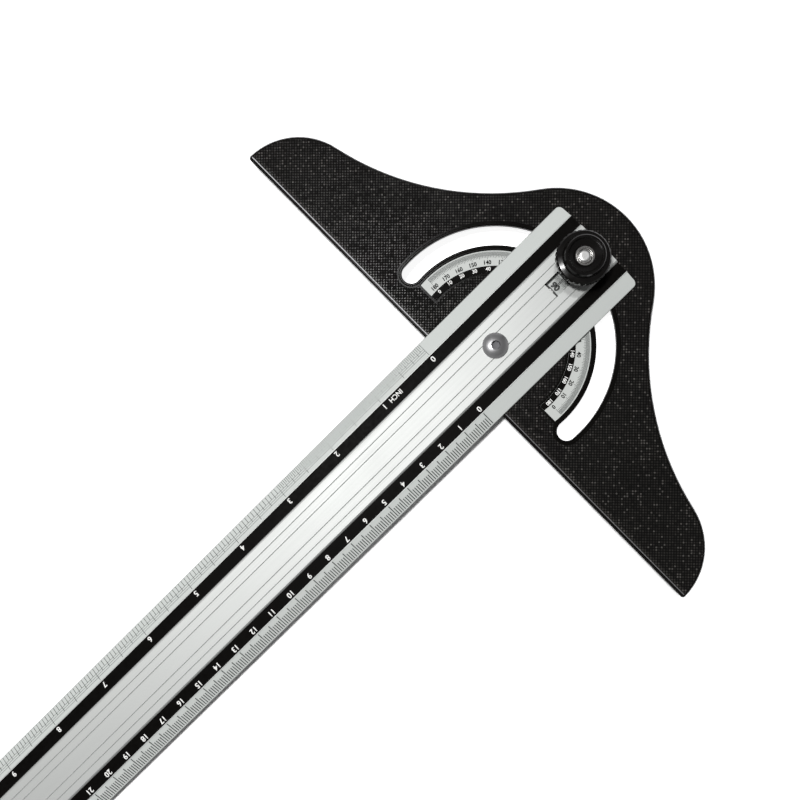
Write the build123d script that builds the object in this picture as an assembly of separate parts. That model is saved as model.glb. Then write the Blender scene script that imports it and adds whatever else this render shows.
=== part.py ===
from build123d import *
from math import acos, atan2, cos, degrees, radians, sin
import os

# Adjustable drafting T-square, millimetres.
# Frame: the origin is the centre of the fence, the straight face of the head that
# bears on a drawing board's edge.  +X runs along the blade to its far end, and +Z
# is up, from the head to the blade and the lock knob.

# ---- head ----------------------------------------------------------------------
HEAD_T = 7.0            # thickness of the moulded head
HEAD_DEPTH = 85.0       # fence to the top of the dome
DOME_R = 37.0           # rounded back of the head
SADDLE_R = 110.0        # hollow curve between the dome and each wing
LOBE_R = 27.0           # rounded end of each wing
LOBE_Y = 90.2           # centre of that rounded end, which lies on the fence line
TIP_R = 1.2             # small round at the wing's corner
EDGE_BEVEL = 0.6        # bevel round the head's upper edge
LIP_H = 0.25            # raised lip round the slot, with sloping flanks
LIP_W = 1.1
FLANK_W = 0.35
PANEL_H = 0.05          # the grained area stands this far above the smooth border
BORDER = 1.1            # smooth border, measured from the edge of the head
MARGIN = 0.6            # smooth margin round the slot's lip and the protractor
PIVOT_X = -16.0         # blade pivot, behind the fence

# ---- protractor arc, slot and clamp ---------------------------------------------
SLOT_R = 41.8           # clamp slot's middle radius about the pivot
SLOT_W = 7.4
SLOT_HALF = 94.0        # the slot's end centres, in degrees from the head's middle
TRACK_W = 13.4          # recess under the slot, where the clamp shoe slides
WEB_T = 2.0             # plastic left above that recess
RELIEF = 0.8            # bevel round the slot's lower edge
SCALE_IN = 28.1         # protractor strip, inner and outer radius
SCALE_OUT = 36.2
SCALE_END = 3.4         # the strip runs this far past the 0 and 180 marks
SCALE_T = 0.5
SCALE_SUNK = 0.3        # its face lies this far below the head's face
SCALE_GAP = 0.3         # play round the strip in its recess

# ---- underside of the wings ------------------------------------------------------
WALL_T = 3.0            # outer wall left round the cored wings
CORE_T = 2.6            # skin left above the cored pockets
CORE_Y = (56.0, 108.0)  # pockets lie between these distances from the middle
RIB_T = 1.8
RIBS = 3                # ribs across each wing's pockets

# ---- blade -----------------------------------------------------------------------
BLADE_GAP = 0.3         # head's face to blade's underside
BLADE_BACK = -69.4      # head end of the blade
BLADE_END = 622.0       # far end
EDGE_Y = 20.6           # half the width over the two scale edges
BAND_OUT = 14.4         # dark number bands lie between these half widths
BAND_IN = 9.75
CENTRE_T = 3.0          # raised ribbed middle
BAND_T = 2.3
RIDGE_T = 2.45          # fine ridge between number band and scale
SCALE_BACK_T = 2.2      # scale bevel, thick side and thin side
SCALE_EDGE_T = 1.3
GROOVE_Y = (3.1, 6.2)   # fine grooves in the middle section
GROOVE_W = 0.36
GROOVE_D = 0.22
BACK_ROUND = 2.0        # corner rounds at the head end and at the far end
END_ROUND = 3.0
HANG_X = 609.0          # hanging hole
HANG_R = 4.0
WINDOW = (9.0, 6.6)     # reading window, along and across the blade
WINDOW_R = 33.1         # its middle, from the pivot
PANE = (11.0, 8.6)      # clear pane that sits in a pocket below the window
PANE_T = 1.0
PANE_GAP = 0.1

# ---- pivot -----------------------------------------------------------------------
BUSH_R = 4.0
PIVOT_RUN = 0.05        # running clearance of the blade on the bush
SCREW_R = 2.5           # M5 button-head screw
SCREW_HEAD_R = 4.75
SCREW_HEAD_H = 2.75
SCREW_HEX = 3.0
SCREW_LEN = 10.0
SCREW_DOME = 1.25       # dome radius, as a multiple of that of a full cap
SCREW_HEX_DEEP = 1.7
INSERT_R = 3.5
INSERT_SUNK = 0.3
WASHER_R = 7.0
WASHER_T = 0.5
THREAD_GAP = 0.02       # between a screw and the thread that it is in
RUB_GAP = 0.05          # between faces that rub when the blade is loose

# ---- knob and clamp bolt ---------------------------------------------------------
BOLT_R = 2.5            # M5 square-neck bolt
BOLT_HOLE_R = 2.8
BOLT_RUN = 0.05
KNOB_H = 12.6           # above its washer
KNOB_BASE_R = 6.4
KNOB_NECK_H = 2.2       # cone from the narrow foot out to the rim
KNOB_RIM_R = 9.6
KNOB_RIM_Z = (6.9, 9.7)
KNOB_EDGE = 0.6         # bevels of the rim
KNOB_TOP_R = 7.0
KNOB_TOP_EDGE = 0.4
KNOB_RING_W = 1.4       # flat ring round the dished top
KNOB_DISH = (0.8, 1.6, 2.2)  # depths of the dish, from the ring inwards
KNOB_FLUTES = 30
FLUTE_R = 0.5
KNOB_INSERT_R = 3.3
INSERT_BEVEL = 0.4
KNOB_WASHER_R = 6.0
KNOB_WASHER_T = 1.0
SHOE_W = 12.6
SHOE_T = 1.6
KEY_W = 7.1
KEY_T = 1.9
SHOE_HALF = 3.5         # half the arc of the shoe's middle line, in degrees
BOLT_HEAD_R = 5.0
BOLT_HEAD_T = 1.2
BOLT_SUNK = 1.4         # the bolt's round end lies this far below the knob's top
BOLT_ROUND = 1.2
NECK = 5.5              # the bolt's square neck, which keeps it from turning
SHOE_GAP = 0.1

HEAD_TOP = HEAD_T / 2
HEAD_LOW = -HEAD_T / 2
BLADE_Z = HEAD_TOP + BLADE_GAP
BLADE_TOP = BLADE_Z + CENTRE_T
CLAMP_X = PIVOT_X - SLOT_R
SEAT_Z = HEAD_TOP - WASHER_T + LIP_H      # floor that the pivot washer lies on


def pivot_arc(radius, half_angle):
    """Arc about the pivot, half_angle degrees each side of the head's middle."""
    return CenterArc((PIVOT_X, 0), radius, 180 - half_angle, 2 * half_angle)


def arc_slot(radius, half_angle, width):
    return SlotArc(pivot_arc(radius, half_angle), width)


def cylinder(x, radius, low, high):
    disc = Pos(x, 0, low) * Circle(radius)
    return extrude(disc, high - low)


def ring(x, outer, inner, low, high):
    return cylinder(x, outer, low, high) - cylinder(x, inner, low - 1, high + 1)


def save(node, shape):
    shape.label = node
    export_step(shape, f"parts/{node}.step")


def head_outline():
    """Dome, two hollow saddles and two rounded wings on a straight fence."""
    dome = Vector(DOME_R - HEAD_DEPTH, 0)
    lobe = Vector(0, LOBE_Y)
    span = (lobe - dome).length
    to_dome = DOME_R + SADDLE_R
    to_lobe = LOBE_R + SADDLE_R
    turn = degrees(acos((to_dome**2 + span**2 - to_lobe**2) / (2 * to_dome * span)))
    aim = degrees(atan2(lobe.Y - dome.Y, lobe.X - dome.X)) + turn
    saddle = dome + Vector(cos(radians(aim)), sin(radians(aim))) * to_dome
    join_dome = dome + (saddle - dome).normalized() * DOME_R
    join_lobe = lobe + (saddle - lobe).normalized() * LOBE_R
    saddle_mid = saddle + ((join_dome + join_lobe) * 0.5 - saddle).normalized() * SADDLE_R
    top = Vector(dome.X - DOME_R, 0)
    dome_mid = dome + ((top + join_dome) * 0.5 - dome).normalized() * DOME_R
    wing = Vector(0, LOBE_Y + LOBE_R)
    lobe_mid = lobe + ((join_lobe + wing) * 0.5 - lobe).normalized() * LOBE_R
    half = [
        ThreePointArc(top, dome_mid, join_dome),
        ThreePointArc(join_dome, saddle_mid, join_lobe),
        ThreePointArc(join_lobe, lobe_mid, wing),
    ]
    other = [edge.mirror(Plane.XZ) for edge in half]
    fence = Line(wing, (0, -wing.Y))
    face = make_face(Wire(half + [fence] + other))
    corners = face.vertices().filter_by(lambda v: abs(abs(v.Y) - wing.Y) < 0.01)
    return fillet(corners, TIP_R)


def strip_shape(grow):
    """The protractor strip's outline, grown by the play round it."""
    band = Circle(SCALE_OUT + grow) - Circle(SCALE_IN - grow)
    reach = SCALE_OUT + 5
    keep = Pos((SCALE_END + grow - reach) / 2, 0) * Rectangle(reach + SCALE_END + grow, 2 * reach)
    return Pos(PIVOT_X, 0) * (band & keep)


def grain_panel(outline):
    """The grained area: the whole top but for a border, the slot and the protractor."""
    panel = offset(outline, -BORDER)
    panel -= arc_slot(SLOT_R, SLOT_HALF, SLOT_W + 2 * (LIP_W + MARGIN))
    panel -= strip_shape(SCALE_GAP + MARGIN)
    panel -= Pos(PIVOT_X, 0) * Circle(WASHER_R + MARGIN)
    return panel


def wing_cores(outline):
    """Pockets under the wings, parted by ribs square to the fence."""
    inner = offset(outline, -WALL_T)
    low, high = CORE_Y
    cores = []
    for side in (1, -1):
        zone = Pos(-50, side * (low + high) / 2) * Rectangle(100, high - low)
        pocket = inner & zone
        for i in range(1, RIBS + 1):
            y = low + i * (high - low) / (RIBS + 1)
            pocket -= Pos(-50, side * y) * Rectangle(120, RIB_T)
        cores.append(extrude(Pos(0, 0, HEAD_LOW) * pocket, HEAD_T - CORE_T))
    return cores


def make_head():
    outline = head_outline()
    body = extrude(Pos(0, 0, HEAD_LOW) * outline, HEAD_T)
    rim = body.faces().sort_by(Axis.Z)[-1].edges()
    body = chamfer(rim, EDGE_BEVEL)
    body += extrude(Pos(0, 0, HEAD_TOP) * grain_panel(outline), PANEL_H)
    lean = degrees(atan2(FLANK_W, LIP_H))
    lip = arc_slot(SLOT_R, SLOT_HALF, SLOT_W + 2 * LIP_W)
    body += extrude(Pos(0, 0, HEAD_TOP) * lip, LIP_H, taper=lean)
    slot = arc_slot(SLOT_R, SLOT_HALF, SLOT_W)
    body -= extrude(Pos(0, 0, HEAD_LOW - 1) * slot, HEAD_T + 2)
    flare = extrude(Pos(0, 0, HEAD_TOP) * slot, LIP_H, taper=-lean)
    body -= flare
    track = arc_slot(SLOT_R, SLOT_HALF, TRACK_W)
    track_top = HEAD_TOP - WEB_T
    body -= extrude(Pos(0, 0, HEAD_LOW - 1) * track, track_top - HEAD_LOW + 1)
    relief = arc_slot(SLOT_R, SLOT_HALF, SLOT_W + 2 * RELIEF)
    body -= extrude(Pos(0, 0, track_top) * relief, RELIEF, taper=45)
    floor = HEAD_TOP - SCALE_SUNK - SCALE_T
    body -= extrude(Pos(0, 0, floor) * strip_shape(SCALE_GAP), HEAD_T)
    body -= cylinder(PIVOT_X, WASHER_R + 0.1, SEAT_Z, HEAD_TOP + 1)
    body -= cylinder(PIVOT_X, INSERT_R, HEAD_LOW - 1, HEAD_TOP + 1)
    for core in wing_cores(outline):
        body -= core
    return body


def make_scale():
    floor = HEAD_TOP - SCALE_SUNK - SCALE_T
    return extrude(Pos(0, 0, floor) * strip_shape(0), SCALE_T)


def blade_section():
    """Half section of the extrusion, mirrored to the full one, in the YZ plane."""
    soft = 0.2
    points = [
        (0, 0),
        (EDGE_Y - soft, 0),
        (EDGE_Y, soft),
        (EDGE_Y, SCALE_EDGE_T - soft),
        (EDGE_Y - soft, SCALE_EDGE_T),
        (BAND_OUT + 0.4, SCALE_BACK_T),
        (BAND_OUT + 0.25, RIDGE_T),
        (BAND_OUT, RIDGE_T),
        (BAND_OUT, BAND_T),
        (BAND_IN, BAND_T),
        (BAND_IN - 0.25, CENTRE_T - 0.25),
        (BAND_IN - 0.8, CENTRE_T),
    ]
    for y in sorted(GROOVE_Y, reverse=True):
        points += [
            (y + GROOVE_W / 2, CENTRE_T),
            (y, CENTRE_T - GROOVE_D),
            (y - GROOVE_W / 2, CENTRE_T),
        ]
    left = [(-y, z) for y, z in reversed(points[1:])]
    return Plane.YZ * make_face(Polyline(points + left, close=True))


def corner_waste(end, way, side, radius):
    """What a rounded corner takes off the blade. way and side point out of the corner."""
    centre = Pos(end - way * radius, side * (EDGE_Y - radius), BLADE_Z)
    square = Pos(way * radius, side * radius, 0) * Box(2 * radius, 2 * radius, 3 * CENTRE_T)
    return centre * (square - Cylinder(radius, 4 * CENTRE_T))


def make_blade():
    bar = extrude(Pos(BLADE_BACK, 0, BLADE_Z) * blade_section(), BLADE_END - BLADE_BACK)
    for end, way, radius in ((BLADE_BACK, -1, BACK_ROUND), (BLADE_END, 1, END_ROUND)):
        for side in (1, -1):
            bar -= corner_waste(end, way, side, radius)
    bar -= cylinder(PIVOT_X, BUSH_R + PIVOT_RUN, BLADE_Z - 1, BLADE_TOP + 1)
    bar -= cylinder(CLAMP_X, BOLT_HOLE_R, BLADE_Z - 1, BLADE_TOP + 1)
    bar -= cylinder(HANG_X, HANG_R, BLADE_Z - 1, BLADE_TOP + 1)
    middle = Pos(PIVOT_X - WINDOW_R, 0, BLADE_Z)
    bar -= middle * Box(*WINDOW, 3 * CENTRE_T)
    bar -= middle * Box(*PANE, 2 * PANE_T)
    return bar


def make_pane():
    size = [side - 2 * PANE_GAP for side in PANE]
    thick = PANE_T - PANE_GAP
    middle = Pos(PIVOT_X - WINDOW_R, 0, BLADE_Z + PANE_T - thick / 2)
    return middle * Box(*size, thick)


def make_pivot():
    seat = BLADE_TOP + RUB_GAP
    bush = ring(PIVOT_X, BUSH_R, SCREW_R + THREAD_GAP, SEAT_Z, seat)
    washer = ring(PIVOT_X, WASHER_R, BUSH_R + PIVOT_RUN, SEAT_Z, SEAT_Z + WASHER_T)
    insert = ring(PIVOT_X, INSERT_R, SCREW_R + THREAD_GAP, HEAD_LOW + INSERT_SUNK, SEAT_Z)
    cap_r = (SCREW_HEAD_R**2 + SCREW_HEAD_H**2) / (2 * SCREW_HEAD_H)
    sweep_r = SCREW_DOME * cap_r
    dome = cylinder(0, SCREW_HEAD_R, 0, SCREW_HEAD_H)
    dome &= Pos(0, 0, SCREW_HEAD_H - sweep_r) * Sphere(sweep_r)
    socket = RegularPolygon(SCREW_HEX / 2, 6, False)
    dome -= extrude(Pos(0, 0, SCREW_HEAD_H - SCREW_HEX_DEEP) * socket, 2 * SCREW_HEX_DEEP)
    shank = cylinder(0, SCREW_R, -SCREW_LEN, 0)
    screw = Pos(PIVOT_X, 0, seat) * (dome + shank)
    return bush, washer, insert, screw


def knob_section():
    """Half section: a narrow foot, a wide gripping rim and a dished top."""
    low, high = KNOB_RIM_Z
    ring_in = KNOB_TOP_R - KNOB_RING_W
    dish = [KNOB_H - depth for depth in KNOB_DISH]
    return [
        (KNOB_INSERT_R, 0),
        (KNOB_BASE_R, 0),
        (KNOB_BASE_R, low - KNOB_NECK_H),
        (KNOB_RIM_R - KNOB_EDGE, low),
        (KNOB_RIM_R, low + KNOB_EDGE),
        (KNOB_RIM_R, high - KNOB_EDGE),
        (KNOB_RIM_R - KNOB_EDGE, high),
        (KNOB_TOP_R + KNOB_EDGE, high + KNOB_TOP_EDGE),
        (KNOB_TOP_R, KNOB_H - KNOB_TOP_EDGE),
        (KNOB_TOP_R - KNOB_TOP_EDGE, KNOB_H),
        (ring_in + KNOB_TOP_EDGE, KNOB_H),
        (ring_in, dish[0]),
        (KNOB_INSERT_R + 1.0, dish[1]),
        (KNOB_INSERT_R, dish[2]),
    ]


def make_knob():
    foot = BLADE_TOP + RUB_GAP + KNOB_WASHER_T
    low, high = KNOB_RIM_Z
    profile = make_face(Plane.XZ * Polyline(knob_section(), close=True))
    body = revolve(profile, Axis.Z)
    for i in range(KNOB_FLUTES):
        place = Pos(KNOB_RIM_R + FLUTE_R * 0.4, 0, (low + high) / 2)
        body -= Rot(0, 0, i * 360 / KNOB_FLUTES) * place * Cylinder(FLUTE_R, 2 * (high - low))
    knob = Pos(CLAMP_X, 0, foot) * body
    top = foot + KNOB_H
    insert_top = top - KNOB_DISH[1]
    insert = ring(CLAMP_X, KNOB_INSERT_R, BOLT_R + BOLT_RUN, foot, insert_top)
    bore = insert.edges().filter_by(GeomType.CIRCLE).group_by(Axis.Z)[-1].sort_by(SortBy.RADIUS)[0]
    insert = chamfer(bore, INSERT_BEVEL)
    washer = ring(CLAMP_X, KNOB_WASHER_R, BOLT_HOLE_R, BLADE_TOP + RUB_GAP, foot)
    return knob, insert, washer, top


def make_clamp(knob_top):
    shoe_top = HEAD_TOP - WEB_T - SHOE_GAP
    shoe = extrude(Pos(0, 0, shoe_top - SHOE_T) * arc_slot(SLOT_R, SHOE_HALF, SHOE_W), SHOE_T)
    shoe += extrude(Pos(0, 0, shoe_top - 0.2) * arc_slot(SLOT_R, SHOE_HALF, KEY_W), KEY_T + 0.2)
    shoe -= cylinder(CLAMP_X, BOLT_R + THREAD_GAP, HEAD_LOW - 5, HEAD_TOP + 5)
    head_top = shoe_top - SHOE_T
    hole = NECK + 2 * THREAD_GAP
    shoe -= Pos(CLAMP_X, 0, head_top) * Box(hole, hole, 2 * SHOE_T)
    bolt = cylinder(CLAMP_X, BOLT_HEAD_R, head_top - BOLT_HEAD_T, head_top)
    neck_t = SHOE_T - 2 * THREAD_GAP
    bolt += Pos(CLAMP_X, 0, head_top + neck_t / 2) * Box(NECK, NECK, neck_t)
    shank = cylinder(CLAMP_X, BOLT_R, head_top, knob_top - BOLT_SUNK)
    shank = fillet(shank.edges().sort_by(Axis.Z)[-1], BOLT_ROUND)
    return shoe, bolt + shank


def main():
    os.makedirs("parts", exist_ok=True)
    save("head", make_head())
    save("protractor_scale", make_scale())
    save("blade", make_blade())
    save("cursor_window", make_pane())
    bush, washer, insert, screw = make_pivot()
    save("pivot_bush", bush)
    save("pivot_washer", washer)
    save("pivot_insert", insert)
    save("pivot_screw", screw)
    knob, knob_insert, knob_washer, knob_top = make_knob()
    save("lock_knob", knob)
    save("knob_insert", knob_insert)
    save("knob_washer", knob_washer)
    shoe, bolt = make_clamp(knob_top)
    save("clamp_shoe", shoe)
    save("clamp_bolt", bolt)


main()
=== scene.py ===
"""Looks of the adjustable drafting T-square: materials, printed scales, light and camera.

Everything is in the row frame, in metres. Lengths below are in millimetres and go through MM.
"""

import bmesh
import bpy
from math import asin, atan2, cos, degrees, radians, sin
from mathutils import Matrix, Vector


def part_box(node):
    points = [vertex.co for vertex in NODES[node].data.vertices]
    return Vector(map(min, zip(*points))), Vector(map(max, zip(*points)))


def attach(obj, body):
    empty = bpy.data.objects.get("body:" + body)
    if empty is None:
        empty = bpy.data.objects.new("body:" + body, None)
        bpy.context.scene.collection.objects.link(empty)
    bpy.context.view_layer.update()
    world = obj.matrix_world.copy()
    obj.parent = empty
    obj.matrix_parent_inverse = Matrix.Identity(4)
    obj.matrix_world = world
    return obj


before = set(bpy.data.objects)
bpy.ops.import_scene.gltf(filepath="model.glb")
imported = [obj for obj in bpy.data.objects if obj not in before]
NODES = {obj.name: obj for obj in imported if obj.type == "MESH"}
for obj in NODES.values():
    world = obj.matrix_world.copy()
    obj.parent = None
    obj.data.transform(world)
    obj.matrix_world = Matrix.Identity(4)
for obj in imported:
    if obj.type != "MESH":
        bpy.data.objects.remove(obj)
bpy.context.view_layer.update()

MM = 0.001

# ---- levels and places read from the CAD nodes -------------------------------------
BLADE_LOW, BLADE_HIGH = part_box("blade")
HEAD_LOW, HEAD_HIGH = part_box("head")
STRIP_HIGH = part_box("protractor_scale")[1]
PANE_LOW, PANE_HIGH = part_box("cursor_window")
SCREW_LOW, SCREW_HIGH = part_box("pivot_screw")
KNOB_LOW, KNOB_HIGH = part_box("lock_knob")
PIVOT_X = (SCREW_LOW.x + SCREW_HIGH.x) / 2 / MM
KNOB_X = (KNOB_LOW.x + KNOB_HIGH.x) / 2 / MM
PANE_X = (PANE_LOW.x + PANE_HIGH.x) / 2 / MM
BLADE_BASE = BLADE_LOW.z / MM
BLADE_TOP = BLADE_HIGH.z / MM
STRIP_TOP = STRIP_HIGH.z / MM
PANE_TOP = PANE_HIGH.z / MM
PANEL_TOP = HEAD_HIGH.z / MM - 0.20     # the slot's lip stands above the grained panels

# ---- blade section, as the CAD has it ------------------------------------------------
BAND_IN, BAND_OUT = 9.75, 14.4
BAND_TOP = BLADE_BASE + 2.3
BEVEL_IN, BEVEL_OUT = 14.8, 20.4
BEVEL_IN_TOP = BLADE_BASE + 2.2
BEVEL_OUT_TOP = BLADE_BASE + 1.3

# ---- prints --------------------------------------------------------------------------
INK = 0.02              # thickness of an ink film
SINK = 0.01             # how far its underside is let into the surface
ZERO_CM = 4.57          # where the two blade scales start
ZERO_INCH = 3.7
CM_TOTAL = 600          # printed millimetres
INCH = 25.4
INCH_TOTAL = 24
FINE_INCHES = 3         # inches that are divided into 32nds; the rest are in 16ths


# ---- mesh helpers --------------------------------------------------------------------
def add_object(name, mesh, material, body):
    """A visible piece that rides on a body."""
    obj = bpy.data.objects.new(name, mesh)
    bpy.context.scene.collection.objects.link(obj)
    obj.data.materials.append(material)
    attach(obj, body)
    return obj


def mesh_from(name, verts, faces):
    """A mesh with its normals facing out."""
    mesh = bpy.data.meshes.new(name)
    mesh.from_pydata(verts, [], faces)
    bm = bmesh.new()
    bm.from_mesh(mesh)
    bmesh.ops.recalc_face_normals(bm, faces=bm.faces)
    bm.to_mesh(mesh)
    bm.free()
    return mesh


def film(name, outlines, place, material, body, thick=INK):
    """Closed thin prisms over flat outlines. place(u, v, height) is a point in millimetres."""
    verts, faces = [], []
    for outline in outlines:
        n = len(outline)
        first = len(verts)
        for height in (-SINK, thick):
            verts += [place(u, v, height) * MM for u, v in outline]
        low = [first + i for i in range(n)]
        high = [first + n + i for i in range(n)]
        faces.append(low[::-1])
        faces.append(high)
        for i in range(n):
            j = (i + 1) % n
            faces.append((low[i], low[j], high[j], high[i]))
    return add_object(name, mesh_from(name, verts, faces), material, body)


def rect(u0, u1, v0, v1):
    return [(u0, v0), (u1, v0), (u1, v1), (u0, v1)]


CAPITAL = 0.72          # height of a numeral, as a part of the font's size


def glyph_mesh(text, height, squeeze, heavy):
    """Triangles of a text, centred on its own middle, as a bmesh in millimetres."""
    curve = bpy.data.curves.new("glyph", "FONT")
    curve.body = text
    curve.align_x = "CENTER"
    curve.align_y = "CENTER"
    curve.size = height / CAPITAL
    curve.offset = heavy
    curve.resolution_u = 3
    obj = bpy.data.objects.new("glyph", curve)
    bpy.context.scene.collection.objects.link(obj)
    bpy.context.view_layer.update()
    graph = bpy.context.evaluated_depsgraph_get()
    mesh = bpy.data.meshes.new_from_object(obj.evaluated_get(graph))
    bpy.data.objects.remove(obj)
    bpy.data.curves.remove(curve)
    bm = bmesh.new()
    bm.from_mesh(mesh)
    bpy.data.meshes.remove(mesh)
    bmesh.ops.remove_doubles(bm, verts=bm.verts, dist=1e-4)
    ys = [v.co.y for v in bm.verts]
    xs = [v.co.x for v in bm.verts]
    middle = Vector(((min(xs) + max(xs)) / 2, (min(ys) + max(ys)) / 2, 0))
    for v in bm.verts:
        v.co = v.co - middle
        v.co.x *= squeeze
    return bm


def labels(name, items, material, body, height, squeeze=0.85, heavy=0.0, thick=INK):
    """Texts as one closed thin mesh. items are (text, place), and place is as in film."""
    whole = bmesh.new()
    for text, place in items:
        bm = glyph_mesh(text, height, squeeze, heavy)
        grown = bmesh.ops.extrude_face_region(bm, geom=bm.faces[:])
        raised = {v for v in grown["geom"] if isinstance(v, bmesh.types.BMVert)}
        for v in bm.verts:
            level = thick if v in raised else -SINK
            v.co = place(v.co.x, v.co.y, level) * MM
        part = bpy.data.meshes.new("part")
        bm.to_mesh(part)
        bm.free()
        whole.from_mesh(part)
        bpy.data.meshes.remove(part)
    bmesh.ops.recalc_face_normals(whole, faces=whole.faces)
    mesh = bpy.data.meshes.new(name)
    whole.to_mesh(mesh)
    whole.free()
    return add_object(name, mesh, material, body)


# ---- material helpers ----------------------------------------------------------------
class Look:
    """A node material with a Principled shader and a few short ways to add nodes."""

    def __init__(self, name, color, rough, metal=0.0, shine=None):
        self.mat = bpy.data.materials.new(name)
        self.mat.use_nodes = True
        self.tree = self.mat.node_tree
        self.bsdf = self.tree.nodes["Principled BSDF"]
        self.bsdf.inputs["Base Color"].default_value = (*color, 1)
        self.bsdf.inputs["Roughness"].default_value = rough
        self.bsdf.inputs["Metallic"].default_value = metal
        if shine is not None:
            self.bsdf.inputs["Specular IOR Level"].default_value = shine
        self.coords = self.node("ShaderNodeTexCoord").outputs["Object"]

    def node(self, kind, **settings):
        made = self.tree.nodes.new(kind)
        for key, value in settings.items():
            setattr(made, key, value)
        return made

    def join(self, source, target):
        self.tree.links.new(source, target)

    def fill(self, sockets, values):
        """Links the values that are sockets and sets the plain ones."""
        for socket, value in zip(sockets, values):
            if isinstance(value, (int, float, tuple)):
                socket.default_value = value
            elif value is not None:
                self.join(value, socket)

    def math(self, operation, a, b=None):
        made = self.node("ShaderNodeMath", operation=operation)
        self.fill(made.inputs, (a, b))
        return made.outputs[0]

    def vector_math(self, operation, a, b=None):
        made = self.node("ShaderNodeVectorMath", operation=operation)
        self.fill(made.inputs, (a, b))
        return made.outputs["Value" if operation == "LENGTH" else "Vector"]

    def mapped(self, scale, turn=0.0):
        made = self.node("ShaderNodeMapping")
        made.inputs["Scale"].default_value = scale
        made.inputs["Rotation"].default_value = (0, 0, turn)
        self.join(self.coords, made.inputs["Vector"])
        return made.outputs["Vector"]

    def noise(self, vector, scale, detail=3.0, rough=0.5):
        made = self.node("ShaderNodeTexNoise")
        self.join(vector, made.inputs["Vector"])
        made.inputs["Scale"].default_value = scale
        made.inputs["Detail"].default_value = detail
        made.inputs["Roughness"].default_value = rough
        return made.outputs["Fac"]

    def spread(self, value, low, high, start=0.0, end=1.0, smooth=False):
        made = self.node("ShaderNodeMapRange")
        if smooth:
            made.interpolation_type = "SMOOTHSTEP"
        self.join(value, made.inputs["Value"])
        made.inputs["From Min"].default_value = start
        made.inputs["From Max"].default_value = end
        made.inputs["To Min"].default_value = low
        made.inputs["To Max"].default_value = high
        return made.outputs["Result"]

    def mix_color(self, factor, a, b):
        made = self.node("ShaderNodeMix", data_type="RGBA")
        for name, value in (("Factor", factor), ("A", a), ("B", b)):
            socket = next(s for s in made.inputs if s.name == name and s.enabled)
            if isinstance(value, tuple):
                socket.default_value = (*value, 1)
            else:
                self.join(value, socket)
        return next(s for s in made.outputs if s.enabled)

    def color(self, socket):
        self.join(socket, self.bsdf.inputs["Base Color"])

    def rough(self, socket):
        self.join(socket, self.bsdf.inputs["Roughness"])

    def bump(self, height, distance, strength=1.0, after=None):
        made = self.node("ShaderNodeBump")
        made.inputs["Distance"].default_value = distance
        made.inputs["Strength"].default_value = strength
        self.join(height, made.inputs["Height"])
        if after is not None:
            self.join(after, made.inputs["Normal"])
        self.join(made.outputs["Normal"], self.bsdf.inputs["Normal"])
        return made.outputs["Normal"]


# ---- materials -----------------------------------------------------------------------
GRAIN_PITCH = 1.0       # of the square grain on the head's panels, in millimetres
GRAIN_TURN = radians(45)
GRAIN_CORE, GRAIN_SKIRT = 0.14, 0.46    # a dot fades out between these parts of the pitch
GRAIN_DARK = (0.0012, 0.0010, 0.0008)
GRAIN_DOT = (0.029, 0.027, 0.025)
GRAIN_SPARK = (0.062, 0.058, 0.054)
GRAIN_SPARSE = 0.90     # cells above this chance get a bright dot
# grey of the painted highlight line along the fence
HIGHLIGHT_GREY = (0.40, 0.40, 0.41)
GRAIN_SHINE = 0.12
GLINT_ROW = (-0.0029, -0.0023)           # x in metres of the row of dots next to the fence: smoother, and painted lighter as a painted highlight
HIGHLIGHT_LINE = (-0.00150, -0.00138)         # x in metres of the painted highlight line along the fence
HIGHLIGHT_FADE = 0.020        # y in metres, each way, over which that painted highlight fades
INK_ROUGH = 0.5


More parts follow.
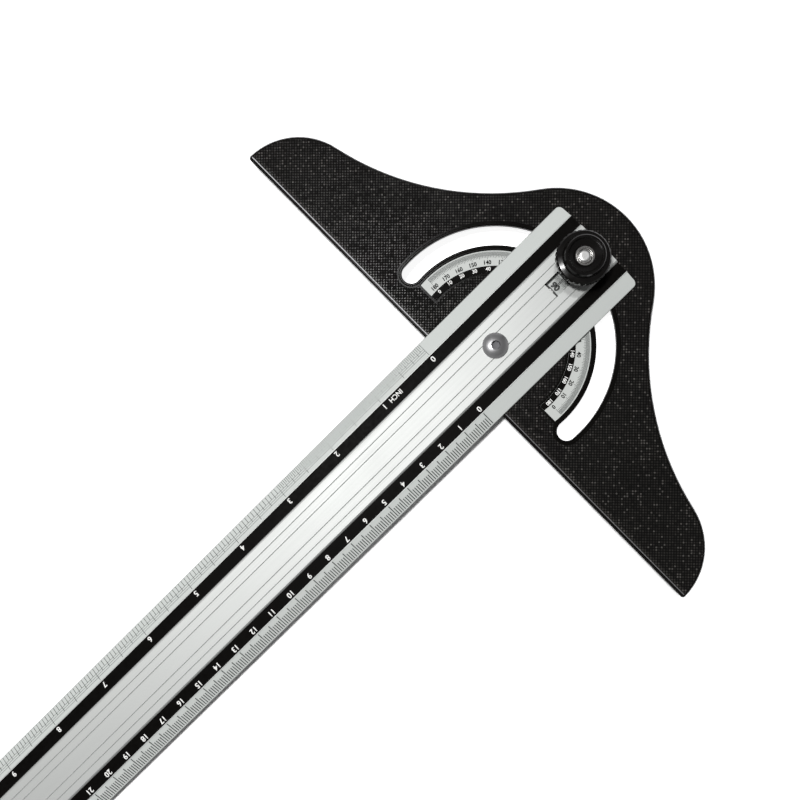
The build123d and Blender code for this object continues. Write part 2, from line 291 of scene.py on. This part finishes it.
def grained_plastic():
    """Moulded black plastic with a fine square grain set at 45 degrees to the fence.

    Each cell has a dot of its own brightness. Dots are smoother and lighter than the ground.
    The row of dots next to the fence is painted lighter and a light line is painted along the
    fence, brighter on the -Y arm: both are painted highlights.
    """
    look = Look("black_abs_grain", (0.004, 0.004, 0.004), 0.4, shine=GRAIN_SHINE)
    at = look.mapped((1 / (GRAIN_PITCH * MM),) * 3, GRAIN_TURN)
    local = look.vector_math("FRACTION", at)
    offset = look.vector_math("SUBTRACT", local, (0.5, 0.5, 0.5))
    flat = look.vector_math("MULTIPLY", offset, (1, 1, 0))
    reach = look.vector_math("LENGTH", flat)
    cell = look.vector_math("FLOOR", at)
    flat_cell = look.vector_math("MULTIPLY", cell, (1, 1, 0))
    random = look.node("ShaderNodeTexWhiteNoise", noise_dimensions="3D")
    look.join(flat_cell, random.inputs["Vector"])
    chance = random.outputs["Value"]
    dot = look.spread(reach, 1.0, 0.0, GRAIN_CORE, GRAIN_SKIRT, smooth=True)
    level = look.math("MULTIPLY", dot, look.spread(chance, 0.15, 1.0))
    cloud = look.noise(look.coords, 60.0, 4.0)
    tone = look.math("MULTIPLY", level, look.spread(cloud, 0.5, 1.2, 0.3, 0.7))
    split = look.node("ShaderNodeSeparateXYZ")
    look.join(look.coords, split.inputs[0])
    # painted highlight: the row of dots next to the fence gets a lighter colour (and a lower
    # roughness)
    glint_row = look.spread(split.outputs["X"], 0.0, 1.0, *GLINT_ROW, smooth=True)
    tone = look.math("ADD", tone, look.math("MULTIPLY", glint_row, look.math("MULTIPLY", dot, 2.5)))
    other = look.math("FRACT", look.math("MULTIPLY", chance, 57.3))
    spark = look.math("MULTIPLY", look.math("GREATER_THAN", other, GRAIN_SPARSE), dot)
    plain = look.mix_color(tone, GRAIN_DARK, GRAIN_DOT)
    sparked = look.mix_color(spark, plain, GRAIN_SPARK)
    # painted highlight: a light line along the fence, fading from the -Y arm towards +Y
    painted_line = look.spread(split.outputs["X"], 0.0, 1.0, *HIGHLIGHT_LINE)
    painted_line_fade = look.spread(split.outputs["Y"], 1.0, 0.25, -HIGHLIGHT_FADE, HIGHLIGHT_FADE)
    look.color(look.mix_color(look.math("MULTIPLY", painted_line, painted_line_fade), sparked, HIGHLIGHT_GREY))
    look.rough(look.spread(tone, 0.90, 0.24, 0.0, 0.4))
    first = look.bump(level, 0.00005, 0.8)
    fine = look.noise(look.coords, 3500.0, 2.0)
    look.bump(fine, 0.00002, 0.5, first)
    return look.mat


def smooth_plastic(name, shine):
    """The same plastic where the mould is polished: the border, the lip and the walls."""
    look = Look(name, (0.004, 0.004, 0.004), 0.3, shine=shine)
    cloud = look.noise(look.coords, 90.0, 5.0)
    look.rough(look.spread(cloud, 0.22, 0.32, 0.3, 0.7))
    look.color(look.mix_color(cloud, (0.0016, 0.0013, 0.0010), (0.0030, 0.0026, 0.0022)))
    fine = look.noise(look.coords, 2200.0, 3.0)
    look.bump(fine, 0.00001, 0.4)
    return look.mat


def brushed(name, color, rough, streak=0.05, tint=0.06, metal=1.0):
    """Extruded and anodised aluminium, with fine lines along X."""
    look = Look(name, color, rough, metal)
    lines = look.noise(look.mapped((6, 4200, 1200)), 1.0, 4.0, 0.6)
    cloud = look.noise(look.coords, 35.0, 4.0)
    dark = tuple(c * (1 - tint) for c in color)
    look.color(look.mix_color(lines, dark, color))
    mixed = look.math("MULTIPLY", lines, look.spread(cloud, 0.7, 1.3))
    look.rough(look.spread(mixed, rough - streak, rough + streak, 0.2, 0.8))
    look.bump(lines, 0.000006, 0.35)
    return look.mat


def ink(name, color, rough=INK_ROUGH, shine=0.25):
    """Screen-printed ink, slightly uneven."""
    look = Look(name, color, rough, shine=shine)
    cloud = look.noise(look.coords, 700.0, 4.0)
    thin = tuple(c * 0.85 + 0.002 for c in color)
    look.color(look.mix_color(cloud, color, thin))
    look.rough(look.spread(cloud, rough - 0.08, rough + 0.08, 0.3, 0.7))
    look.bump(look.noise(look.coords, 2600.0, 2.0), 0.000004, 0.4)
    return look.mat


def turned(name, color, rough, axis_x):
    """Metal turned on a lathe: rings about the piece's own axis."""
    look = Look(name, color, rough, 1.0)
    off = look.vector_math("SUBTRACT", look.coords, (axis_x * MM, 0, 0))
    reach = look.vector_math("LENGTH", look.vector_math("MULTIPLY", off, (1, 1, 0)))
    lines = look.node("ShaderNodeTexNoise", noise_dimensions="1D")
    look.join(look.math("MULTIPLY", reach, 9000.0), lines.inputs["W"])
    lines.inputs["Scale"].default_value = 1.0
    lines.inputs["Detail"].default_value = 3.0
    rings = lines.outputs["Fac"]
    cloud = look.noise(look.coords, 500.0, 4.0)
    both = look.math("MULTIPLY", rings, look.spread(cloud, 0.75, 1.25))
    look.rough(look.spread(both, rough - 0.05, rough + 0.09, 0.2, 0.8))
    dark = tuple(c * 0.82 for c in color)
    look.color(look.mix_color(both, dark, color))
    look.bump(rings, 0.000008, 0.4)
    return look.mat


def plated(name, color, rough):
    """Zinc or nickel plate: faint clouding and a fine grain."""
    look = Look(name, color, rough, 1.0)
    cloud = look.noise(look.coords, 260.0, 5.0)
    fine = look.noise(look.coords, 4200.0, 2.0)
    look.rough(look.spread(cloud, rough - 0.08, rough + 0.10, 0.3, 0.7))
    look.color(look.mix_color(cloud, tuple(c * 0.85 for c in color), color))
    look.bump(fine, 0.000008, 0.4)
    return look.mat


def gloss_plastic():
    """The knob's polished black plastic."""
    look = Look("black_gloss", (0.003, 0.003, 0.003), 0.16, shine=0.20)
    cloud = look.noise(look.coords, 300.0, 5.0)
    look.rough(look.spread(cloud, 0.10, 0.24, 0.3, 0.7))
    look.color(look.mix_color(cloud, (0.0025, 0.0023, 0.0021), (0.0055, 0.0051, 0.0048)))
    look.bump(look.noise(look.coords, 1500.0, 3.0), 0.000012, 0.35)
    return look.mat


def nylon():
    """White nylon, a little translucent."""
    look = Look("white_nylon", (0.80, 0.79, 0.75), 0.45)
    look.bsdf.inputs["Subsurface Weight"].default_value = 0.15
    look.bsdf.inputs["Subsurface Radius"].default_value = (0.001, 0.001, 0.001)
    cloud = look.noise(look.coords, 400.0, 4.0)
    look.rough(look.spread(cloud, 0.38, 0.55, 0.3, 0.7))
    look.color(look.mix_color(cloud, (0.74, 0.73, 0.69), (0.84, 0.83, 0.80)))
    look.bump(look.noise(look.coords, 3000.0, 2.0), 0.00001, 0.4)
    return look.mat


def acrylic():
    """Clear sheet. Almost all of it is let through, so the print below stays bright."""
    look = Look("clear_acrylic", (0.80, 0.83, 0.82), 0.04)
    look.bsdf.inputs["Alpha"].default_value = 0.04
    cloud = look.noise(look.coords, 800.0, 4.0)
    look.rough(look.spread(cloud, 0.02, 0.07, 0.3, 0.8))
    return look.mat


GRAIN = grained_plastic()
SMOOTH = smooth_plastic("black_abs_smooth", 0.08)
FENCE = smooth_plastic("black_abs_fence", 0.5)
ALU = brushed("anodised_aluminium", (0.515, 0.525, 0.515), 0.64)
ALU_GROOVE = brushed("anodised_groove", (0.52, 0.53, 0.52), 0.72)
ALU_SCALE = brushed("anodised_scale_edge", (0.495, 0.515, 0.50), 0.75, 0.04, 0.04, 0.3)
STRIP = brushed("printed_scale", (0.48, 0.495, 0.48), 0.70, 0.04, 0.04, 0.3)
# black print, and also the painted shadow on the reading window's walls
BLACK_INK_AND_SHADE = ink("black_ink_and_painted_shade", (0.0012, 0.0009, 0.0006), shine=0.03)
MARK_INK = ink("mark_ink", (0.030, 0.036, 0.033))
GREY_INK = ink("grey_ink", (0.06, 0.066, 0.063))
WHITE_INK = ink("white_ink", (0.88, 0.88, 0.86))
STEEL = turned("bright_steel_pivot", (0.56, 0.56, 0.57), 0.36, PIVOT_X)
# painted shade: a dark plate for the inside of the hex socket
SOCKET_SHADE = plated("socket_shadow", (0.10, 0.10, 0.105), 0.55)
STEEL_KNOB = turned("bright_steel_knob", (0.80, 0.80, 0.79), 0.34, KNOB_X)
NICKEL = turned("nickel_steel", (0.45, 0.44, 0.43), 0.22, KNOB_X)
BRASS = turned("brass", (0.70, 0.52, 0.24), 0.26, PIVOT_X)
ZINC = plated("zinc_steel", (0.55, 0.56, 0.57), 0.38)
GLOSS = gloss_plastic()
NYLON = nylon()
ACRYLIC = acrylic()


# ---- materials on the CAD nodes --------------------------------------------------------
UPRIGHT = 0.9           # a face with a normal part above this looks that way
WINDOW_HALF = (5, 3.8)  # half sizes of a box that holds the reading window's walls, painted black as painted shadow
SOCKET_R = 1.75
SOCKET_DEEP = 2.5


def coat(node, *materials, pick=None):
    """Gives a node its materials. pick(centre in millimetres, normal) is a face's slot."""
    mesh = NODES[node].data
    mesh.materials.clear()
    for material in materials:
        mesh.materials.append(material)
    for polygon in mesh.polygons:
        polygon.material_index = pick(polygon.center / MM, polygon.normal) if pick else 0


def head_face(centre, normal):
    """Grain on the raised panels, a bright polish on the fence, and a dull one elsewhere."""
    if normal.x > UPRIGHT and centre.x > -0.2:
        return 2
    return 0 if normal.z > 0.99 and abs(centre.z - PANEL_TOP) < 0.02 else 1


def blade_face(centre, normal):
    """Window walls painted black as painted shadow, black number bands, plain scale edges, and
    dull groove flanks.
    """
    across = abs(centre.y)
    in_window = abs(centre.x - PANE_X) < WINDOW_HALF[0] and across < WINDOW_HALF[1]
    # painted shadow: the reading window's side walls get the black ink
    if in_window and abs(normal.z) < 0.5:
        return 1
    if BAND_IN < across < BAND_OUT and normal.z > UPRIGHT and abs(centre.z - BAND_TOP) < 0.05:
        return 1
    if across > BAND_OUT + 0.2 and normal.z > UPRIGHT:
        return 2
    if across < BAND_IN - 1 and 0.3 < abs(normal.y) < 0.98 and centre.z > BAND_TOP:
        return 3
    return 0


def screw_face(centre, normal):
    """The hex socket is painted darker than the domed head: painted shade in the recess."""
    reach = ((centre.x - PIVOT_X) ** 2 + centre.y ** 2) ** 0.5
    return 1 if reach < SOCKET_R and centre.z > SCREW_HIGH.z / MM - SOCKET_DEEP else 0


coat("head", GRAIN, SMOOTH, FENCE, pick=head_face)
coat("blade", ALU, BLACK_INK_AND_SHADE, ALU_SCALE, ALU_GROOVE, pick=blade_face)
coat("protractor_scale", STRIP)
coat("cursor_window", ACRYLIC)
coat("pivot_bush", BRASS)
coat("pivot_washer", NYLON)
coat("pivot_insert", BRASS)
coat("pivot_screw", STEEL, SOCKET_SHADE, pick=screw_face)
coat("lock_knob", GLOSS)
coat("knob_insert", NICKEL)
coat("knob_washer", STEEL_KNOB)
coat("clamp_shoe", ZINC)
coat("clamp_bolt", STEEL_KNOB)


# ---- printed scales on the blade -------------------------------------------------------
def on_bevel(side):
    """Places (x, |y|) on the blade's scale bevel of that side."""
    slope = (BEVEL_OUT_TOP - BEVEL_IN_TOP) / (BEVEL_OUT - BEVEL_IN)

    def place(x, across, height):
        return Vector((x, side * across, BEVEL_IN_TOP + slope * (across - BEVEL_IN) + height))

    return place


def on_band(x, y):
    """Places a text on a number band, reading towards the blade's far end."""
    return lambda u, v, height: Vector((x + u, y + v, BAND_TOP + height))


def tick_start(count, levels, shortest):
    """Inner end of a tick. levels holds (step, inner end), the coarsest step first."""
    for step, start in levels:
        if count % step == 0:
            return start
    return shortest


TICK_W = 0.2
FINE_TICK_W = 0.16      # of the ticks among 32nds of an inch
METRIC_W = 0.36
CM_LEVELS = ((10, 14.95), (5, 15.5))
CM_SHORT = 16.7
CM_OUT = 20.1
PARTS = 32              # ticks of an inch where it is divided most finely
INCH_LEVELS = ((32, 15.0), (16, 15.3), (8, 16.3), (4, 17.1), (2, 17.9))
INCH_SHORT = 18.6
INCH_OUT = 20.38
LINES_AT = (16.3, 17.1, 17.9)           # long lines of the inch scale, |y|
LINE_W = 0.13
LABEL_Y = 12.7
PAIR_SHIFT = 0.28       # two-digit numbers sit this far past their mark
INCH_WORD_AT = 19.6     # past the zero

metric = []
for mm in range(CM_TOTAL + 1):
    x = ZERO_CM + mm
    start = tick_start(mm, CM_LEVELS, CM_SHORT)
    metric.append(rect(x - METRIC_W / 2, x + METRIC_W / 2, start, CM_OUT))
film("centimetre_ticks", metric, on_bevel(1), MARK_INK, "blade")

imperial = []
for i in range(INCH_TOTAL * PARTS + 1):
    fine = i <= FINE_INCHES * PARTS
    if i % 2 and not fine:
        continue
    x = ZERO_INCH + i * INCH / PARTS
    half = (FINE_TICK_W if fine else TICK_W) / 2
    imperial.append(rect(x - half, x + half, tick_start(i, INCH_LEVELS, INCH_SHORT), INCH_OUT))
film("inch_ticks", imperial, on_bevel(-1), MARK_INK, "blade")

lines = []
for across in LINES_AT:
    far = ZERO_INCH + INCH_TOTAL * INCH
    lines.append(rect(ZERO_INCH, far, across - LINE_W / 2, across + LINE_W / 2))
film("inch_lines", lines, on_bevel(-1), MARK_INK, "blade", INK * 0.6)


def row(zero, pitch, last, y):
    """The numbers 0 to last along a band, and where they stand."""
    places = [zero + i * pitch + PAIR_SHIFT * (i > 9) for i in range(last + 1)]
    return [(str(i), on_band(x, y)) for i, x in enumerate(places)]


numbers = row(ZERO_CM, 10, CM_TOTAL // 10, LABEL_Y) + row(ZERO_INCH, INCH, INCH_TOTAL, -LABEL_Y)
labels("blade_numbers", numbers, WHITE_INK, "blade", 2.2, 1.0, 0.07)
inch_word = [("INCH", on_band(ZERO_INCH + INCH_WORD_AT, -LABEL_Y))]
labels("inch_word", inch_word, WHITE_INK, "blade", 1.9, 0.95, 0.06)


# ---- printed protractor ------------------------------------------------------------------
DEGREE_W = 0.17
DEGREE_MID = 34.5       # radius at which a tick has that width
DEGREE_OUT = 35.8
HALVES_LEVELS = ((20, 33.0), (10, 33.3), (2, 33.6))     # steps in half degrees
HALVES_SHORT = 34.2
BAND_LOW, BAND_HIGH = 28.1, 30.5        # dark band of the protractor strip
BAND_STEPS = 96
STRIP_END = STRIP_HIGH.x / MM - PIVOT_X  # its ends are cut parallel to the fence
OUTER_R, SQUARE_R, INNER_R = 31.85, 32.0, 29.4


def on_strip(reach, angle):
    """A place on the strip. The angle runs from the +Y end, over the back, to the -Y end."""
    return Vector((PIVOT_X - reach * sin(radians(angle)), reach * cos(radians(angle)), 0))


def polar(angle, reach, height):
    """A place on or over the strip, for film."""
    return on_strip(reach, angle) + Vector((0, 0, STRIP_TOP + height))


def strip_label(reach, angle):
    """Places a text on the strip, its foot towards the pivot."""
    out = Vector((-sin(radians(angle)), cos(radians(angle)), 0))
    right = Vector((cos(radians(angle)), sin(radians(angle)), 0))
    centre = on_strip(reach, angle)

    def place(u, v, height):
        return centre + right * u + out * v + Vector((0, 0, STRIP_TOP + height))

    return place


degree_marks = []
half = degrees(DEGREE_W / 2 / DEGREE_MID)
for i in range(2 * 180 + 1):
    start = tick_start(i, HALVES_LEVELS, HALVES_SHORT)
    degree_marks.append(rect(i / 2 - half, i / 2 + half, start, DEGREE_OUT))
film("degree_ticks", degree_marks, polar, GREY_INK, "head")

band = []
for i in range(BAND_STEPS):
    corners = []
    for step, reach in ((i, BAND_LOW), (i + 1, BAND_LOW), (i + 1, BAND_HIGH), (i, BAND_HIGH)):
        past = degrees(asin(STRIP_END / reach))
        corners.append((-past + (180 + 2 * past) * step / BAND_STEPS, reach))
    band.append(corners)
film("degree_band", band, polar, BLACK_INK_AND_SHADE, "head")

outer = [(str(d), strip_label(OUTER_R, d)) for d in range(0, 181, 10) if d != 90]
labels("degree_numbers_outer", outer, BLACK_INK_AND_SHADE, "head", 1.55, 0.95, 0.07)
square = [("90", strip_label(SQUARE_R, 90))]
labels("square_number", square, BLACK_INK_AND_SHADE, "head", 2.3, 1.05, 0.2)
inner = [(str(180 - d), strip_label(INNER_R, d)) for d in range(0, 181, 10)]
labels("degree_numbers_inner", inner, WHITE_INK, "head", 1.45, 0.95, 0.06,
       thick=2 * INK)     # over the dark band's own film


# ---- hairline on the pane --------------------------------------------------------
HAIR_X = (-4.3, 1.5)    # its ends, from the middle of the pane
HAIR_HALF = 0.11


def on_pane(x, y, height):
    return Vector((x, y, PANE_TOP + height))


hair = rect(PANE_X + HAIR_X[0], PANE_X + HAIR_X[1], -HAIR_HALF, HAIR_HALF)
film("hairline", [hair], on_pane, BLACK_INK_AND_SHADE, "blade")


# ---- floor, light and camera ------------------------------------------------------------
WALL_GREY = 0.60        # the room: pale round the table, dim overhead
ROOF_GREY = 0.15
ROOF_FROM = 0.30        # sine of the elevation at which the overhead part starts
TABLE_HALF = 4.0        # metres
TABLE_GAP = 0.00005
GLOW_REACH = (35.5, 53.5)                # glowing patch, painted light: its radii about the pivot
GLOW_HALF = 104          # and half its arc, in degrees
GLOW_STEPS = 96
GLOW_POWER = 0.9
CAMERA_AT = Vector((10.10, 4.85, 192.72))
CAMERA_RIGHT = Vector((-0.7120, 0.7014, -0.0328))
CAMERA_AHEAD = Vector((0.0333, -0.0130, -0.9994))


def lay(name, verts, faces, material, lift):
    """A staged flat piece on the table, which touches the head and the blade's far end."""
    mesh = mesh_from(name, verts, faces)
    mesh.materials.append(material)
    obj = bpy.data.objects.new(name, mesh)
    bpy.context.scene.collection.objects.link(obj)
    obj.rotation_euler = (0, -atan2(BLADE_LOW.z - HEAD_LOW.z, BLADE_HIGH.x), 0)
    obj.location = (0, 0, HEAD_LOW.z - TABLE_GAP + lift)


def make_floor():
    """A pale table, and a glowing patch on it, painted light by emission, that keeps the inside
    of the arc slot white.
    """
    look = Look("table_white", (0.93, 0.93, 0.93), 0.55)
    cloud = look.noise(look.coords, 12.0, 4.0)
    look.rough(look.spread(cloud, 0.5, 0.62))
    look.color(look.mix_color(cloud, (0.92, 0.92, 0.925), (0.95, 0.95, 0.95)))
    corners = [(u, v, 0) for u, v in rect(-TABLE_HALF, TABLE_HALF, -TABLE_HALF, TABLE_HALF)]
    lay("floor", corners, [(0, 1, 2, 3)], look.mat, 0)
    # painted light: this patch glows, though no lamp lights it
    glow = Look("table_glow", (0.93, 0.93, 0.93), 0.55)
    glow.bsdf.inputs["Emission Color"].default_value = (1, 1, 1, 1)
    glow.bsdf.inputs["Emission Strength"].default_value = GLOW_POWER
    verts, faces = [], []
    for i in range(GLOW_STEPS + 1):
        turn = radians(180 - GLOW_HALF + 2 * GLOW_HALF * i / GLOW_STEPS)
        for reach in GLOW_REACH:
            verts.append(((PIVOT_X + reach * cos(turn)) * MM, reach * sin(turn) * MM, 0))
        if i:
            faces.append((2 * i - 2, 2 * i - 1, 2 * i + 1, 2 * i))
    lay("floor_glow", verts, faces, glow.mat, TABLE_GAP / 2)


def area(name, place, aim, size, power):
    """A square soft box. Places and size are in metres."""
    light = bpy.data.lights.new(name, "AREA")
    light.shape = "SQUARE"
    light.size = size
    light.energy = power
    obj = bpy.data.objects.new(name, light)
    obj.location = place
    obj.rotation_mode = "QUATERNION"
    obj.rotation_quaternion = (Vector(aim) - Vector(place)).to_track_quat("-Z", "Y")
    bpy.context.scene.collection.objects.link(obj)


def make_light():
    """A grey room and two soft boxes: the key, and one for the sheen of the grain."""
    world = bpy.data.worlds.new("studio")
    bpy.context.scene.world = world
    world.use_nodes = True
    nodes, links = world.node_tree.nodes, world.node_tree.links
    back = nodes["Background"]
    back.inputs["Strength"].default_value = 1.0
    where = nodes.new("ShaderNodeTexCoord")
    split = nodes.new("ShaderNodeSeparateXYZ")
    links.new(where.outputs["Generated"], split.inputs[0])
    fade = nodes.new("ShaderNodeMapRange")
    links.new(split.outputs["Z"], fade.inputs["Value"])
    fade.inputs["From Min"].default_value = 0.0
    fade.inputs["From Max"].default_value = ROOF_FROM
    fade.inputs["To Min"].default_value = WALL_GREY
    fade.inputs["To Max"].default_value = ROOF_GREY
    links.new(fade.outputs[0], back.inputs["Color"])
    area("key", (0.413, -0.460, 1.80), (0.03, 0, 0), 0.18, 33)
    area("sheen", (-0.145, -0.511, 1.80), (0, 0, 0), 0.12, 9.4)


def make_camera():
    camera = bpy.data.cameras.new("camera")
    camera.sensor_width = 36.0
    camera.lens = 22.5
    camera.shift_x = -0.0469
    camera.shift_y = 0.0145
    camera.clip_start = 0.01
    camera.clip_end = 50.0
    obj = bpy.data.objects.new("camera", camera)
    forward = CAMERA_AHEAD.normalized()
    right = (CAMERA_RIGHT - forward * CAMERA_RIGHT.dot(forward)).normalized()
    up = right.cross(forward)
    turn = Matrix((right, up, -forward)).transposed().to_4x4()
    obj.matrix_world = Matrix.Translation(CAMERA_AT * MM) @ turn
    bpy.context.scene.collection.objects.link(obj)
    bpy.context.scene.camera = obj


make_floor()
make_light()
make_camera()
bpy.context.scene.view_settings.view_transform = "Standard"
